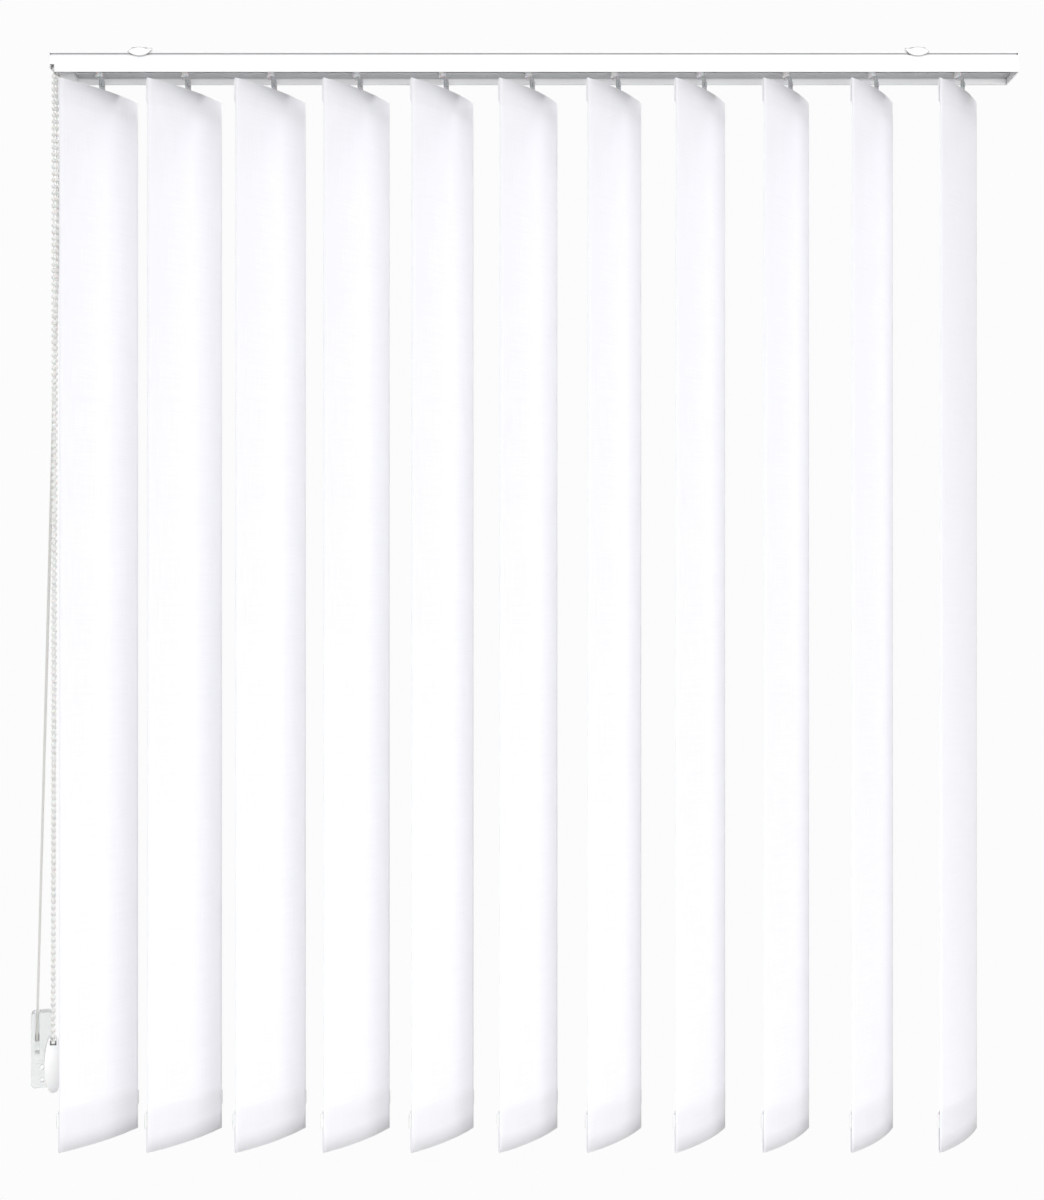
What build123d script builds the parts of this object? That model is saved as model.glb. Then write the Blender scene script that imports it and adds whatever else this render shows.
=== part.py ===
"""Vertical blind with eleven 89 mm fabric slats, traverse cord and tilt chain.

Millimetres. +X runs along the rail away from the control end, +Y points away from the room,
+Z is up. The origin lies on the ceiling plane, midway between the two mounting clips.
"""

import math
import os

from build123d import *

# Slats
SLAT_COUNT = 11
SLAT_PITCH = 80.0
FIRST_PIVOT_X = -400.0
SLAT_WIDTH = 89.0
SLAT_LENGTH = 977.0
SLAT_CROWN = 5.0  # how far the middle bulges from the line between the side edges
CROWN_APEX_Y = -6.0  # the middle of the front face, measured from the pivot
SLAT_ANGLE = 52.7  # between the slat's width and the rail
CLOTH = 0.4
SLAT_TOP_Z = -34.0

# Slat pockets and what they hold
PLATE = 1.0
POCKET_GAP = 0.1
TOP_POCKET = 22.0
HEM_POCKET = 38.5
HANGER_WIDTH = 56.0
HANGER_HEIGHT = 16.5
WEIGHT_WIDTH = 86.0
WEIGHT_HEIGHT = 35.0
EAR_OUT = 2.0  # how far a weight's ear stands out of the slat's side edge
EAR_HEIGHT = 13.0

# Head rail
RAIL_START_X = -440.3
RAIL_END_X = 450.3
RAIL_DEPTH = 36.0
RAIL_HEIGHT = 18.5
RAIL_TOP_Z = -4.0
RAIL_WALL = 1.2
FLOOR_DROP = 11.2  # from the rail's top to the upper face of its running floor
SLOT_WIDTH = 10.0
GROOVE_DROP = 1.2
GROOVE_HEIGHT = 2.0
GROOVE_DEPTH = 0.6
FRONT_GROOVE_DEPTH = 1.4
FRONT_RIB = 1.0  # thickening of the front wall behind its groove
END_PLATE = 1.2

# Clips
CLIP_X = 358.0
CLIP_WIDTH = 21.0
CLIP_SHEET = 1.1
CLIP_SCREW_RADIUS = 2.25
CLIP_TAB = 1.5  # how far the release tab stands out past the lip's corner
CLIP_TAB_DROP = 3.6

# Tilt drive
ROD_Y = -6.8
ROD_DROP = 8.3  # from the rail's top to the tilt rod's axis
ROD_RADIUS = 1.6
FLUTE_RADIUS = 0.35
JOURNAL_RADIUS = 1.2
WORM_RADIUS = 2.4
WHEEL_RADIUS = 3.9
WHEEL_TEETH = 12
WHEEL_HEIGHT = 4.0
SHAFT_RADIUS = 2.2

# Bead chain
BEAD_PITCH = 6.0
BEAD_DIAMETER = 4.4
SPROCKET_POCKETS = 5
SPROCKET_X = -438.5
CHAIN_WEIGHT_X = -440.7
CHAIN_WEIGHT_TOP_Z = -910.0
CHAIN_WEIGHT_SIZE = (15.5, 21.0, 55.0)

# Traverse cord
CORD_DIAMETER = 2.2
CORD_DROP = 4.2  # from the rail's top to the cord's centre
CORD_SPACING = 6.6
CORD_INSET = 2.0  # from the back wall of the rail to the back run of the cord
PULLEY_TURN = 5.5  # radius of the cord's centre on the guide pulleys
CORD_FRONT_X = -437.6
CORD_BACK_X = -438.4
OUTLET_Z = -24.0
TENSIONER_X = -461.2
TENSIONER_TOP_Z = -894.5
TENSIONER_SIZE = (20.0, 16.0, 73.0)
TENSIONER_OFFSET = 4.5  # from the cord to the middle of the tensioner's width
TWIST = 18.0  # how far the chain weight and the tensioner are turned about their cords

# Carriers and their spacer strips
CARRIER_LENGTH = 11.0
CARRIER_WALL = 1.0  # at both ends of a worm
STRIP_LEVELS = 6
STRIP_STEP = 0.65
STRIP_SHEET = 0.35
STRIP_WIDTH = 4.4
STRIP_REACH = 84.0
STRIP_WALL = 1.4  # between the spacer strips' window and the stem's wheel
STRIP_TOP_DROP = 6.6
STRIP_END = 1.2  # half the width of a strip's ear
STRIP_EAR = 1.4  # how far it stands out at the strip's side

# Clearances
RUNNING = 0.1
LOOSE = 0.3

# Values worked out from the ones above
inner_half = RAIL_DEPTH / 2 - RAIL_WALL
rail_bottom_z = RAIL_TOP_Z - RAIL_HEIGHT
ceiling_z = RAIL_TOP_Z - RAIL_WALL
floor_z = RAIL_TOP_Z - FLOOR_DROP
groove_top_z = RAIL_TOP_Z - GROOVE_DROP
rib_bottom_z = groove_top_z - GROOVE_HEIGHT - FRONT_RIB
rod_z = RAIL_TOP_Z - ROD_DROP
cord_z = RAIL_TOP_Z - CORD_DROP
cord_radius = CORD_DIAMETER / 2
cord_back_y = inner_half - CORD_INSET
cord_front_y = cord_back_y - CORD_SPACING
return_turn = CORD_SPACING / 2
return_y = cord_back_y - return_turn
bead_radius = BEAD_DIAMETER / 2
chain_turn = SPROCKET_POCKETS * BEAD_PITCH / (2 * math.pi)
crown_radius = ((SLAT_WIDTH / 2) ** 2 + SLAT_CROWN**2) / (2 * SLAT_CROWN)
crown_centre_y = crown_radius + CROWN_APEX_Y
cavity = PLATE + 2 * POCKET_GAP
slat_bottom_z = SLAT_TOP_Z - SLAT_LENGTH
strip_y = WHEEL_RADIUS + STRIP_WALL + 2 * LOOSE + STRIP_WIDTH / 2


def block(low, high):
    """A box between two opposite corners."""
    size = [b - a for a, b in zip(low, high)]
    middle = [(a + b) / 2 for a, b in zip(low, high)]
    return Pos(*middle) * Box(*size)


def bar(start, end, radius):
    """A round bar between two points on its axis."""
    start = Vector(*start)
    along = Vector(*end) - start
    bottom = (Align.CENTER, Align.CENTER, Align.MIN)
    return Plane(origin=start, z_dir=along) * Cylinder(radius, along.length, align=bottom)


def rod_bar(start_x, end_x, radius):
    """A round bar on the tilt rod's axis."""
    return bar((start_x, ROD_Y, rod_z), (end_x, ROD_Y, rod_z), radius)


def write(name, *solids):
    """Write one node, whose solids stay separate."""
    found = [solid for piece in solids for solid in piece.solids()]
    shape = found[0] if len(found) == 1 else Compound(children=found)
    export_step(shape, f"parts/{name}.step")


def headrail():
    """One extrusion: a closed top, a running floor with a slot, and two skirts below the floor."""
    half = RAIL_DEPTH / 2
    rail = block((RAIL_START_X, -half, rail_bottom_z), (RAIL_END_X, half, RAIL_TOP_Z))
    rail -= block((RAIL_START_X, -inner_half, floor_z), (RAIL_END_X, inner_half, ceiling_z))
    floor_underside_z = floor_z - RAIL_WALL
    slot_half = SLOT_WIDTH / 2
    rib_back = FRONT_RIB - inner_half
    rail -= block((RAIL_START_X, -inner_half, rail_bottom_z), (RAIL_END_X, inner_half, floor_underside_z))
    rail -= block((RAIL_START_X, -slot_half, floor_underside_z), (RAIL_END_X, slot_half, floor_z))
    rail += block((RAIL_START_X, -inner_half, rib_bottom_z), (RAIL_END_X, rib_back, ceiling_z))
    for side, depth in ((-1, FRONT_GROOVE_DEPTH), (1, GROOVE_DEPTH)):
        near, far = sorted((side * half, side * (half - depth)))
        rail -= block((RAIL_START_X, near, groove_top_z - GROOVE_HEIGHT), (RAIL_END_X, far, groove_top_z))
    return rail - control_end_cuts()


def control_end_cuts():
    """The floor, the roof and the front wall are cut away round the sprocket and the pulleys."""
    floor_cut = block(
        (RAIL_START_X, -inner_half, floor_z - RAIL_WALL),
        (RAIL_START_X + CAP_DEPTH, inner_half, floor_z),
    )
    over = chain_turn + bead_radius + LOOSE
    window_end = SPROCKET_X + bead_radius + SPROCKET_FLANGE + 2 * LOOSE
    roof_cut = block(
        (RAIL_START_X, ROD_Y - over, ceiling_z),
        (window_end, ROD_Y + over, RAIL_TOP_Z),
    )
    outlet_top = rail_bottom_z + CHAIN_OUTLET_HEIGHT
    front_cut = block(
        (RAIL_START_X, -RAIL_DEPTH / 2, rail_bottom_z),
        (SPROCKET_X + bead_radius, -inner_half, outlet_top),
    )
    return floor_cut + roof_cut + front_cut


# Control end
CAP_DEPTH = 17.0  # how far the control end cap reaches into the rail
CHAIN_OUTLET_HEIGHT = 7.0
SPROCKET_FLANGE = 0.7
SPROCKET_GAP = 0.2  # beside the sprocket's core and beside the beads
JOURNAL_REACH = 0.8  # how deep the rod's journal sits in the end plate
PLATE_RECESS = 0.9  # how deep the chain runs into the end plate's inner side
SPROCKET_CORE = 2.45
SPROCKET_RIM = 6.1
SEAT_REACH = 6.8  # from the axis to the middle of a bead's seat in the flange
PULLEY_CORE = PULLEY_TURN - cord_radius - RUNNING
PULLEY_RIM = PULLEY_TURN + 0.5
PULLEY_WIDTH = 3.4
RIM_SHEET = 0.5
AXLE_RADIUS = 1.5
WEB = 1.6


def chain_sprocket():
    """A scalloped flange on a core: the end plate keeps the chain on at the other side."""
    core_start = RAIL_START_X + SPROCKET_GAP
    flange_start = SPROCKET_X + bead_radius + SPROCKET_GAP
    flange_end = flange_start + SPROCKET_FLANGE
    flange = rod_bar(flange_start, flange_end, SPROCKET_RIM)
    for seat in range(SPROCKET_POCKETS):
        turn = 2 * math.pi * seat / SPROCKET_POCKETS
        y = ROD_Y + SEAT_REACH * math.cos(turn)
        z = rod_z + SEAT_REACH * math.sin(turn)
        flange -= bar((flange_start, y, z), (flange_end, y, z), bead_radius)
    wheel = rod_bar(core_start, flange_end, SPROCKET_CORE) + flange
    return wheel - rod_bar(core_start, flange_end, ROD_RADIUS + RUNNING / 2)


def tilt_rod():
    """Fluted aluminium rod through all the worms, turned down at both ends to a journal."""
    start = RAIL_START_X + SPROCKET_GAP
    end = RAIL_END_X - BEARING_DEPTH
    rod = rod_bar(start, end, ROD_RADIUS)
    for flute in range(3):
        turn = 2 * math.pi * flute / 3
        y = ROD_Y + ROD_RADIUS * math.cos(turn)
        z = rod_z + ROD_RADIUS * math.sin(turn)
        rod -= bar((start, y, z), (end, y, z), FLUTE_RADIUS)
    rod += rod_bar(RAIL_START_X - JOURNAL_REACH, start, JOURNAL_RADIUS)
    return rod + rod_bar(end, end + BEARING_DEPTH / 2, JOURNAL_RADIUS)


def control_end_cap():
    """End plate with a journal bearing and two webs that carry the guide pulleys' axles."""
    half = RAIL_DEPTH / 2
    cap = block((RAIL_START_X - END_PLATE, -half, rail_bottom_z), (RAIL_START_X, half, RAIL_TOP_Z))
    outlet_top = rail_bottom_z + CHAIN_OUTLET_HEIGHT
    cap -= block(
        (RAIL_START_X - END_PLATE, -half, rail_bottom_z),
        (RAIL_START_X, ROD_Y + chain_turn + bead_radius, outlet_top - bead_radius),
    )
    recess_x = RAIL_START_X - PLATE_RECESS
    recess = chain_turn + bead_radius + LOOSE
    pocket = rod_bar(recess_x, RAIL_START_X, recess)
    pocket += block((recess_x, ROD_Y - recess, rail_bottom_z), (RAIL_START_X, ROD_Y + recess, rod_z))
    cap -= pocket - rod_bar(recess_x, RAIL_START_X, SPROCKET_CORE)
    cap -= rod_bar(RAIL_START_X - END_PLATE, RAIL_START_X, JOURNAL_RADIUS + RUNNING / 2)
    axle_z = cord_z - PULLEY_TURN
    for y, hang_x in ((cord_front_y, CORD_FRONT_X), (cord_back_y, CORD_BACK_X)):
        web_y = y - PULLEY_WIDTH / 2 - LOOSE - WEB
        cap += block(
            (RAIL_START_X, web_y, rail_bottom_z + LOOSE),
            (RAIL_START_X + CAP_DEPTH - LOOSE, web_y + WEB, ceiling_z - RUNNING),
        )
        axle_x = hang_x + PULLEY_TURN
        end_y = min(y + PULLEY_WIDTH / 2, inner_half - RUNNING)
        cap += bar((axle_x, web_y + WEB, axle_z), (axle_x, end_y, axle_z), AXLE_RADIUS)
    return cap


def grooved_wheel(centre, direction, core, rim, width, bore):
    """A pulley: two flanges and a core, with a bore."""
    centre = Vector(*centre)
    half = Vector(*direction) * (width / 2)
    flange = Vector(*direction) * (width / 2 - RIM_SHEET)
    wheel = bar(tuple(centre - half), tuple(centre + half), core)
    wheel += bar(tuple(centre - half), tuple(centre - flange), rim)
    wheel += bar(tuple(centre + flange), tuple(centre + half), rim)
    return wheel - bar(tuple(centre - half), tuple(centre + half), bore)


def cord_pulley(y, hang_x):
    """Guide pulley that turns one run of the cord from the rail to the vertical."""
    centre = (hang_x + PULLEY_TURN, y, cord_z - PULLEY_TURN)
    return grooved_wheel(centre, (0, 1, 0), PULLEY_CORE, PULLEY_RIM, PULLEY_WIDTH, AXLE_RADIUS + RUNNING)


# Idle end
BEARING_DEPTH = 14.0
RETURN_X = 441.0
RETURN_AXLE = 1.2
RETURN_RIM = 0.4  # how far a small wheel's rims reach past the middle of its cord
SHELF = 1.6
BEARING_WALL = 1.6


def return_pulley():
    """Pulley with an upright axle that sends the cord back along the rail."""
    core = return_turn - cord_radius - RUNNING
    rim = return_turn + RETURN_RIM
    bore = RETURN_AXLE + RUNNING / 2
    return grooved_wheel((RETURN_X, return_y, cord_z), (0, 0, 1), core, rim, PULLEY_WIDTH, bore)


def idle_end_cap():
    """End plate with a bearing block for the rod and a shelf with the return pulley's axle."""
    half = RAIL_DEPTH / 2
    cap = block((RAIL_END_X, -half, rail_bottom_z), (RAIL_END_X + END_PLATE, half, RAIL_TOP_Z))
    block_half = ROD_RADIUS + BEARING_WALL
    cap += block(
        (RAIL_END_X - BEARING_DEPTH + LOOSE, ROD_Y - block_half, floor_z + RUNNING),
        (RAIL_END_X, ROD_Y + block_half, ceiling_z - RUNNING),
    )
    cap -= rod_bar(RAIL_END_X - BEARING_DEPTH, RAIL_END_X - LOOSE, JOURNAL_RADIUS + RUNNING / 2)
    shelf_top = cord_z - PULLEY_WIDTH / 2 - LOOSE
    cap += block(
        (RETURN_X - return_turn, return_y - return_turn, shelf_top - SHELF),
        (RAIL_END_X, return_y + return_turn, shelf_top),
    )
    axle_top = cord_z + PULLEY_WIDTH / 2
    return cap + bar((RETURN_X, return_y, shelf_top), (RETURN_X, return_y, axle_top), RETURN_AXLE)


def mounting_clip(x, inward):
    """White clip: a plate under the ceiling and two lens-shaped lips that snap into the rail's grooves."""
    half = RAIL_DEPTH / 2
    plate_half = CLIP_WIDTH / 3
    lip_y = half + LOOSE / 2
    clip = block((x - plate_half, -lip_y, -CLIP_SHEET), (x + plate_half, lip_y, 0))
    groove_middle = groove_top_z - GROOVE_HEIGHT / 2
    lip_bottom = groove_middle - GROOVE_HEIGHT
    corner_z = lip_bottom / 2
    left = (x - CLIP_WIDTH / 2, corner_z)
    right = (x + CLIP_WIDTH / 2, corner_z)
    upper = Plane.XZ * ThreePointArc(left, (x, 0), right)
    lower = Plane.XZ * ThreePointArc(right, (x, lip_bottom), left)
    lens = make_face([upper, lower])
    for side in (-1, 1):
        lip = extrude(Pos(0, side * (lip_y + CLIP_SHEET / 2), 0) * lens, CLIP_SHEET / 2, both=True)
        near, far = sorted((side * lip_y, side * (half - GROOVE_DEPTH / 2)))
        bead = block(
            (x - plate_half, near, groove_middle - GROOVE_HEIGHT / 4),
            (x + plate_half, far, groove_middle + GROOVE_HEIGHT / 4),
        )
        clip += lip + bead
    tab_start, tab_end = sorted((x + inward * plate_half, x + inward * (CLIP_WIDTH / 2 + CLIP_TAB)))
    clip += block((tab_start, -lip_y - CLIP_SHEET, -CLIP_TAB_DROP), (tab_end, -lip_y, -CLIP_SHEET))
    return clip - bar((x, 0, -CLIP_SHEET), (x, 0, 0), CLIP_SCREW_RADIUS)


def carrier_housing():
    """One moulding, drawn at x = 0: it runs on the rail's floor and carries a stem's wheel and its worm."""
    half = CARRIER_LENGTH / 2
    side = inner_half - LOOSE
    housing = block((-half, -side, floor_z + RUNNING), (half, side, ceiling_z - LOOSE))
    housing -= block((-half, -side, rib_bottom_z - LOOSE), (half, FRONT_RIB - side, ceiling_z))
    wheel_low = rod_z - WHEEL_HEIGHT / 2 - RUNNING
    wheel_high = rod_z + WHEEL_HEIGHT / 2 + RUNNING
    housing -= bar((0, 0, wheel_low), (0, 0, wheel_high), WHEEL_RADIUS + LOOSE)
    housing -= bar((0, 0, floor_z), (0, 0, wheel_low), SHAFT_RADIUS + RUNNING)
    worm_half = half - CARRIER_WALL
    housing -= rod_bar(-worm_half, worm_half, WORM_RADIUS + LOOSE)
    housing -= rod_bar(-half, half, ROD_RADIUS + LOOSE)
    trough_bottom = cord_z - cord_radius - LOOSE
    trough_half = cord_radius + LOOSE
    housing -= block(
        (-half, cord_front_y - trough_half, trough_bottom), (half, cord_front_y + trough_half, ceiling_z)
    )
    housing -= block((-half, cord_back_y - trough_half, trough_bottom), (half, side, ceiling_z))
    window_low = strip_z(STRIP_LEVELS - 1) - STRIP_SHEET - LOOSE
    window_half = STRIP_WIDTH / 2 + LOOSE
    housing -= block(
        (-half, strip_y - window_half, window_low), (half, strip_y + window_half, strip_z(0) + LOOSE)
    )
    ear_half = STRIP_END + LOOSE
    ear_end = strip_y + window_half + STRIP_EAR
    return housing - block((-ear_half, strip_y, window_low), (ear_half, ear_end, strip_z(0) + LOOSE))


def worm():
    """The sleeve that the rod turns in each carrier, drawn at x = 0."""
    half = CARRIER_LENGTH / 2 - CARRIER_WALL - LOOSE
    return rod_bar(-half, half, WORM_RADIUS) - rod_bar(-half, half, ROD_RADIUS + RUNNING)


def strip_z(level):
    """Upper face of the spacer strip on one level."""
    return RAIL_TOP_Z - STRIP_TOP_DROP - level * STRIP_STEP


def spacer_strip(level):
    """Thin strip held by its ear in its own carrier, at x = 0, that slides through the next carriers."""
    top = strip_z(level)
    low = top - STRIP_SHEET
    side = strip_y + STRIP_WIDTH / 2
    strip = block((-STRIP_END, strip_y - STRIP_WIDTH / 2, low), (STRIP_REACH, side, top))
    return strip + block((-STRIP_END, strip_y, low), (STRIP_END, side + STRIP_EAR, top))


# Stem and hanger
HOOK_WIDTH = 5.4
HOOK_SHEET = 1.3
HOOK_Z = -23.5  # where the round shaft ends and the flat hook starts
COLLAR_RADIUS = 3.3
COLLAR_TOP_Z = -17.0
COLLAR_HEIGHT = 4.2
EYE = 3.0
EYE_DROP = 2.0  # from the tongue's top to its eye
TONGUE_TOP_Z = -26.0
PEG_REACH = 0.6  # how far the hook's peg stands out in front of the tongue


def plate_y(depth):
    """Y of a face inside the slat's pocket at the middle of its width, measured from the front cloth."""
    return crown_centre_y - crown_radius + depth


def stem():
    """Toothed wheel, shaft and hook in one moulding, drawn at x = 0 and square to the rail."""
    low = rod_z - WHEEL_HEIGHT / 2
    high = rod_z + WHEEL_HEIGHT / 2
    wheel = bar((0, 0, low), (0, 0, high), WHEEL_RADIUS)
    for tooth in range(WHEEL_TEETH):
        turn = 2 * math.pi * tooth / WHEEL_TEETH
        gap = (WHEEL_RADIUS * math.cos(turn), WHEEL_RADIUS * math.sin(turn))
        wheel -= bar((*gap, low), (*gap, high), WHEEL_RADIUS * math.pi / WHEEL_TEETH / 2)
    shaft = bar((0, 0, HOOK_Z), (0, 0, low), SHAFT_RADIUS)
    shaft += bar((0, 0, COLLAR_TOP_Z - COLLAR_HEIGHT), (0, 0, COLLAR_TOP_Z), COLLAR_RADIUS)
    tongue_back = plate_y(cavity - POCKET_GAP)
    blade_front = tongue_back + POCKET_GAP
    peg_high = TONGUE_TOP_Z - EYE_DROP - POCKET_GAP
    peg_low = peg_high - EYE + 2 * POCKET_GAP
    blade_low = peg_low - HOOK_SHEET
    blade_back = blade_front + HOOK_SHEET
    arm_top = HOOK_Z + HOOK_SHEET
    blade = block((-HOOK_WIDTH / 2, blade_front, blade_low), (HOOK_WIDTH / 2, blade_back, arm_top))
    arm = block((-HOOK_WIDTH / 2, blade_front, HOOK_Z), (HOOK_WIDTH / 2, 0, arm_top))
    peg_half = EYE / 2 - POCKET_GAP
    peg = block((-peg_half, tongue_back - PLATE - PEG_REACH, peg_low), (peg_half, blade_front, peg_high))
    return wheel + shaft + arm + blade + peg


def crown_band(inner, outer, half_width):
    """The section between two arcs of the slat's crown, seen from above."""
    def arc_y(radius, x):
        return crown_centre_y - math.sqrt(radius**2 - x**2)

    left, right = -half_width, half_width
    front = [(x, arc_y(outer, x)) for x in (left, 0, right)]
    back = [(x, arc_y(inner, x)) for x in (right, 0, left)]
    front = ThreePointArc(*front)
    back = ThreePointArc(*back)
    return make_face([front, Line(front @ 1, back @ 0), back, Line(back @ 1, front @ 0)])


def crowned(inner, outer, half_width, low, high):
    """A crowned sheet from one height to another."""
    return extrude(Pos(0, 0, low) * crown_band(inner, outer, half_width), high - low)


def slat():
    """One strip of cloth: a pocket for the hanger at the top, and a hem pocket for the weight."""
    half = SLAT_WIDTH / 2
    front = crown_radius
    back = crown_radius - CLOTH - cavity
    cloth = crowned(front - CLOTH, front, half, slat_bottom_z, SLAT_TOP_Z)
    pockets = ((SLAT_TOP_Z - TOP_POCKET, SLAT_TOP_Z), (slat_bottom_z, slat_bottom_z + HEM_POCKET))
    for low, high in pockets:
        cloth += crowned(back - CLOTH, back, half, low, high)
        cloth += crowned(back, front - CLOTH, half, low, low + CLOTH)
        cloth += crowned(back, front - CLOTH, half, high - CLOTH, high)
    tongue_half = HOOK_WIDTH / 2 + LOOSE
    opening_low = (-tongue_half, plate_y(-PLATE), SLAT_TOP_Z - CLOTH - POCKET_GAP)
    opening_high = (tongue_half, plate_y(4 * PLATE), SLAT_TOP_Z + CLOTH)
    return cloth - block(opening_low, opening_high)


def pocket_plate(half_width, low, high):
    """A plate that lies in a pocket of the slat, with the slat's crown."""
    outer = crown_radius - CLOTH - POCKET_GAP
    return crowned(outer - PLATE, outer, half_width, low, high)


def hanger():
    """Plate in the slat's top pocket, with a tongue and an eye that stand out of it for the hook."""
    high = SLAT_TOP_Z - CLOTH - POCKET_GAP
    plate = pocket_plate(HANGER_WIDTH / 2, high - HANGER_HEIGHT, high)
    tongue = pocket_plate(HOOK_WIDTH / 2, high - HANGER_HEIGHT / 2, TONGUE_TOP_Z)
    eye_top = TONGUE_TOP_Z - EYE_DROP
    eye = block((-EYE / 2, plate_y(-PLATE), eye_top - EYE), (EYE / 2, plate_y(4 * PLATE), eye_top))
    return plate + tongue - eye


def weight():
    """Plate in the hem pocket, whose ears stand out at both side edges."""
    low = slat_bottom_z + CLOTH + POCKET_GAP
    high = low + WEIGHT_HEIGHT
    plate = pocket_plate(WEIGHT_WIDTH / 2, low, high)
    return plate + pocket_plate(SLAT_WIDTH / 2 + EAR_OUT, high - EAR_HEIGHT, high)


def wheel_corners(centre, outward, down, radius):
    """Three corners that lead a cord half round a wheel, from its outward side to the other."""
    reach = radius / math.cos(math.pi / 6)
    corners = []
    for degrees in (30, 90, 150):
        turn = math.radians(degrees)
        corners.append(centre + outward * (reach * math.cos(turn)) + down * (reach * math.sin(turn)))
    return corners


def tube(name, points, radii, radius):
    """A plain tube along straight runs joined by arcs, one radius for each corner."""
    path = FilletPolyline(*points, radius=radii)
    print(name, "length", round(path.length, 1), "radii", [round(r, 2) for r in radii])
    start = Plane(origin=path @ 0, z_dir=path % 0)
    return sweep(start * Circle(radius), path)


down = Vector(0, 0, -1)
toward_room = Vector(0, -1, 0).rotate(Axis.Z, TWIST)
ARC_SHARE = 0.95  # a cord's arcs keep a short straight between them
CHAIN_PLUMB = 30.0  # the chain leaves the sprocket plumb before it leans to the weight
CHAIN_BEND = 900.0
CORD_PLUMB = 20.0
CORD_BEND = 700.0

# Chain weight
WEIGHT_WHEEL_DROP = 20.0
WEIGHT_SLOT = 5.6
WEIGHT_CLEAR = 0.8  # round the beads in the weight's slot
weight_centre = Vector(CHAIN_WEIGHT_X, ROD_Y, CHAIN_WEIGHT_TOP_Z - CHAIN_WEIGHT_SIZE[2] / 2)
weight_wheel_centre = Vector(CHAIN_WEIGHT_X, ROD_Y, CHAIN_WEIGHT_TOP_Z - WEIGHT_WHEEL_DROP)


def bead_chain():
    """The chain loop as a plain tube of the beads' diameter, all but closed at its front run's top."""
    top = Vector(SPROCKET_X, ROD_Y, rod_z)
    front_top = top + Vector(0, -chain_turn, 0)
    back_top = top + Vector(0, chain_turn, 0)
    bottom = wheel_corners(weight_wheel_centre, toward_room, down, chain_turn)
    over = wheel_corners(top, Vector(0, 1, 0), Vector(0, 0, 1), chain_turn)
    front_run = [front_top, front_top + down * CHAIN_PLUMB]
    back_run = [back_top + down * CHAIN_PLUMB]
    turns = [chain_turn * ARC_SHARE] * 3
    radii = [CHAIN_BEND, *turns, CHAIN_BEND, *turns]
    points = [*front_run, *bottom, *back_run, *over, front_top - down * RUNNING]
    return tube("bead_chain", points, radii, bead_radius)


def hanging_cord():
    """The loop of the traverse cord below the rail, pulled straight by the tensioner."""
    centre = Vector(TENSIONER_X, return_y, tensioner_wheel_z)
    bottom = wheel_corners(centre, toward_room, down, return_turn)
    front = Vector(CORD_FRONT_X, cord_front_y, OUTLET_Z)
    back = Vector(CORD_BACK_X, cord_back_y, OUTLET_Z)
    points = [front, front + down * CORD_PLUMB, *bottom, back + down * CORD_PLUMB, back]
    turns = [return_turn * ARC_SHARE] * 3
    return tube("hanging_cord", points, [CORD_BEND, *turns, CORD_BEND], cord_radius)


def rail_cord():
    """The cord inside the rail: up from one outlet, along, round the return pulley, and back."""
    front = Vector(CORD_FRONT_X, cord_front_y, OUTLET_Z)
    back = Vector(CORD_BACK_X, cord_back_y, OUTLET_Z)
    rise = Vector(0, 0, cord_z - OUTLET_Z)
    centre = Vector(RETURN_X, return_y, cord_z)
    far = wheel_corners(centre, Vector(0, -1, 0), Vector(1, 0, 0), return_turn)
    points = [front, front + rise, *far, back + rise, back]
    turns = [return_turn * ARC_SHARE] * 3
    return tube("rail_cord", points, [PULLEY_TURN, *turns, PULLEY_TURN], cord_radius)


def twisted(shape, centre):
    """A shape drawn at the origin, turned by the twist and moved to its place."""
    return Pos(*centre) * Rot(0, 0, TWIST) * shape


def chain_weight():
    """Pebble-like oval moulding, slotted from above for its wheel."""
    width, depth, height = CHAIN_WEIGHT_SIZE
    oval = extrude(Plane.YZ * Ellipse(depth / 2, height / 2), width / 2, both=True)
    oval &= extrude(Plane.XZ * Ellipse(width / 2, height / 2), depth / 2, both=True)
    wheel_z = height / 2 - WEIGHT_WHEEL_DROP
    opening = chain_turn + bead_radius + WEIGHT_CLEAR
    slot = block((-WEIGHT_SLOT / 2, -opening, wheel_z), (WEIGHT_SLOT / 2, opening, height / 2))
    slot += bar((-WEIGHT_SLOT / 2, 0, wheel_z), (WEIGHT_SLOT / 2, 0, wheel_z), opening)
    axle = bar((-WEIGHT_SLOT / 2, 0, wheel_z), (WEIGHT_SLOT / 2, 0, wheel_z), AXLE_RADIUS)
    return twisted(oval - slot + axle, weight_centre)


def chain_weight_wheel():
    """Wheel in the oval weight that the chain's lower bend runs round."""
    core = chain_turn - bead_radius - 2 * RUNNING
    half = WEIGHT_SLOT / 2 - LOOSE
    bore = bar((-half, 0, 0), (half, 0, 0), AXLE_RADIUS + RUNNING)
    return twisted(bar((-half, 0, 0), (half, 0, 0), core) - bore, weight_wheel_centre)


# Cord tensioner
TENSIONER_WHEEL_DROP = 24.0
TENSIONER_SLOT = 4.2
TENSIONER_FORK = 46.0
TENSIONER_BRIDGE = 8.0  # solid part between the two sides of the fork
TENSIONER_BACK = 2.0
TONGUE_THICKNESS = 5.0
WALL_SCREW_RADIUS = 2.1
WALL_SCREW_DROPS = (54.0, 66.0)
tensioner_wheel_z = TENSIONER_TOP_Z - TENSIONER_WHEEL_DROP


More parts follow.
